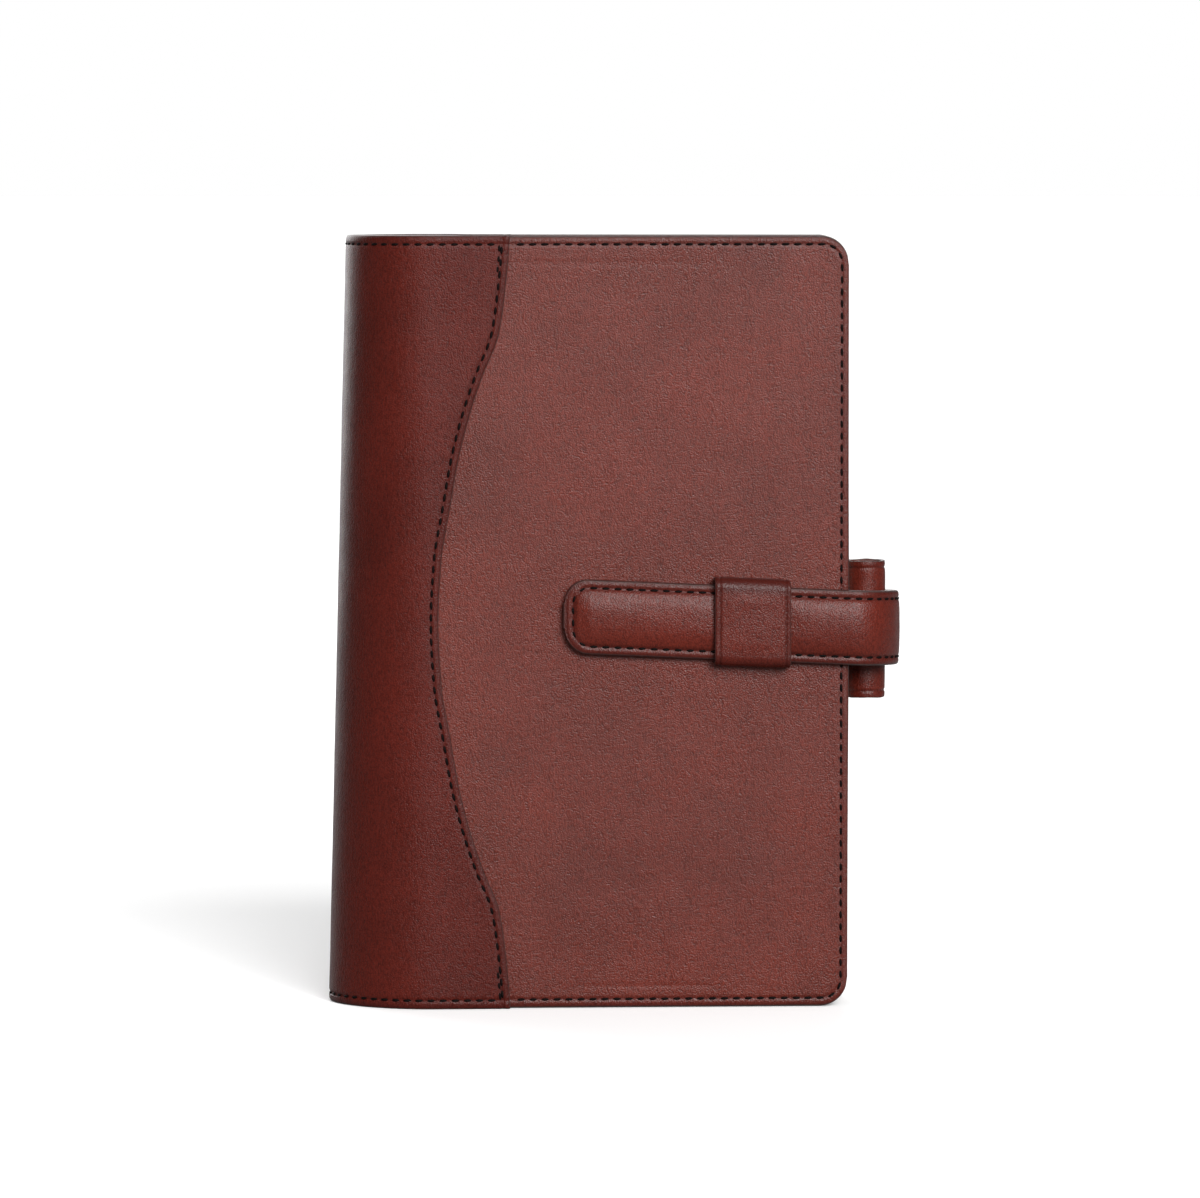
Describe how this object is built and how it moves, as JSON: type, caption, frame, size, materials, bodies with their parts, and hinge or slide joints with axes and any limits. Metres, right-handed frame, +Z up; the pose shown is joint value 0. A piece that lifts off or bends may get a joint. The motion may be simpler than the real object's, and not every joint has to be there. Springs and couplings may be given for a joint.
{
  "type": "notebook cover",
  "caption": "Leather ring-binder notebook cover with an S-seamed spine overlay, a wrap strap that tucks under a keeper, and a pen loop at the fore edge.",
  "frame": {"origin": "middle of the bounding box at its base: the cover stands on its bottom edge on the origin plane", "axes": "+Z up along the spine, -Y out of the front cover, -X out of the spine, +X towards the fore edge and its strap"},
  "size_m": [0.1402, 0.0406, 0.188],
  "materials": {
    "spine_leather": "dark red-brown, fine grain, semi-matt",
    "panel_leather": "red-brown, fine grain, soft sheen",
    "lining_leather": "dark red-brown, smooth, matt",
    "leatherboard": "raw stiffener board",
    "felt": "grey felt",
    "steel": "polished nickel plate",
    "paper": "cream, matt"
  },
  "bodies": {
    "spine": {"spine_leather": "spine_leather", "spine_stiffener": "leatherboard", "spine_lining": "lining_leather", "ring_plate": "steel", "plate_rivet_top": "steel", "plate_rivet_bottom": "steel"},
    "front_cover": {"front_overlay": "spine_leather", "front_panel": "panel_leather", "front_board": "leatherboard", "front_lining": "lining_leather", "front_pocket": "lining_leather", "card_pocket_top": "lining_leather", "card_pocket_middle": "lining_leather", "card_pocket_bottom": "lining_leather", "keeper": "panel_leather"},
    "back_cover": {"back_overlay": "spine_leather", "back_panel": "panel_leather", "back_board": "leatherboard", "back_lining": "lining_leather", "back_pocket": "lining_leather", "pen_loop": "panel_leather", "strap_anchor": "panel_leather"},
    "strap": {"strap_outer": "panel_leather", "strap_lining": "lining_leather", "strap_padding": "felt"},
    "front_rings": {"front_ring_set": "steel"},
    "back_rings": {"back_ring_set": "steel"},
    "front_leaves": {"front_pages": "paper"},
    "back_leaves": {"back_pages": "paper"}
  },
  "joints": [
    {"name": "front_cover_hinge", "type": "hinge", "parent": "spine", "child": "front_cover", "pos_m": [-0.06225, -0.0145, 0.094], "axis": [0, 0, -1], "range_deg": [0, 95]},
    {"name": "back_cover_hinge", "type": "hinge", "parent": "spine", "child": "back_cover", "pos_m": [-0.06225, 0.0145, 0.094], "axis": [0, 0, 1], "range_deg": [0, 95]},
    {"name": "strap_swing", "type": "hinge", "parent": "back_cover", "child": "strap", "pos_m": [0.0575, 0.0145, 0.094], "axis": [0, 0, 1], "range_deg": [0, 110], "deforming": ["strap_outer", "strap_lining", "strap_padding"]},
    {"name": "ring_open", "type": "hinge", "parent": "spine", "child": "front_rings", "pos_m": [-0.05735, -0.0068, 0.094], "axis": [0, 0, -1], "range_deg": [0, 10]},
    {"name": "ring_open_back", "type": "hinge", "parent": "spine", "child": "back_rings", "pos_m": [-0.05735, 0.0068, 0.094], "axis": [0, 0, 1], "range_deg": [0, 10]},
    {"name": "front_leaves_turn", "type": "hinge", "parent": "spine", "child": "front_leaves", "pos_m": [-0.04705, 0, 0.094], "axis": [0, 0, -1], "range_deg": [0, 90]},
    {"name": "back_leaves_turn", "type": "hinge", "parent": "spine", "child": "back_leaves", "pos_m": [-0.04705, 0, 0.094], "axis": [0, 0, 1], "range_deg": [0, 90]}
  ],
  "couplings": [
    {"joint": "ring_open_back", "follows": "ring_open", "ratio": 1},
    {"joint": "front_leaves_turn", "follows": "front_cover_hinge", "ratio": 0.947},
    {"joint": "back_leaves_turn", "follows": "back_cover_hinge", "ratio": 0.947}
  ]
}
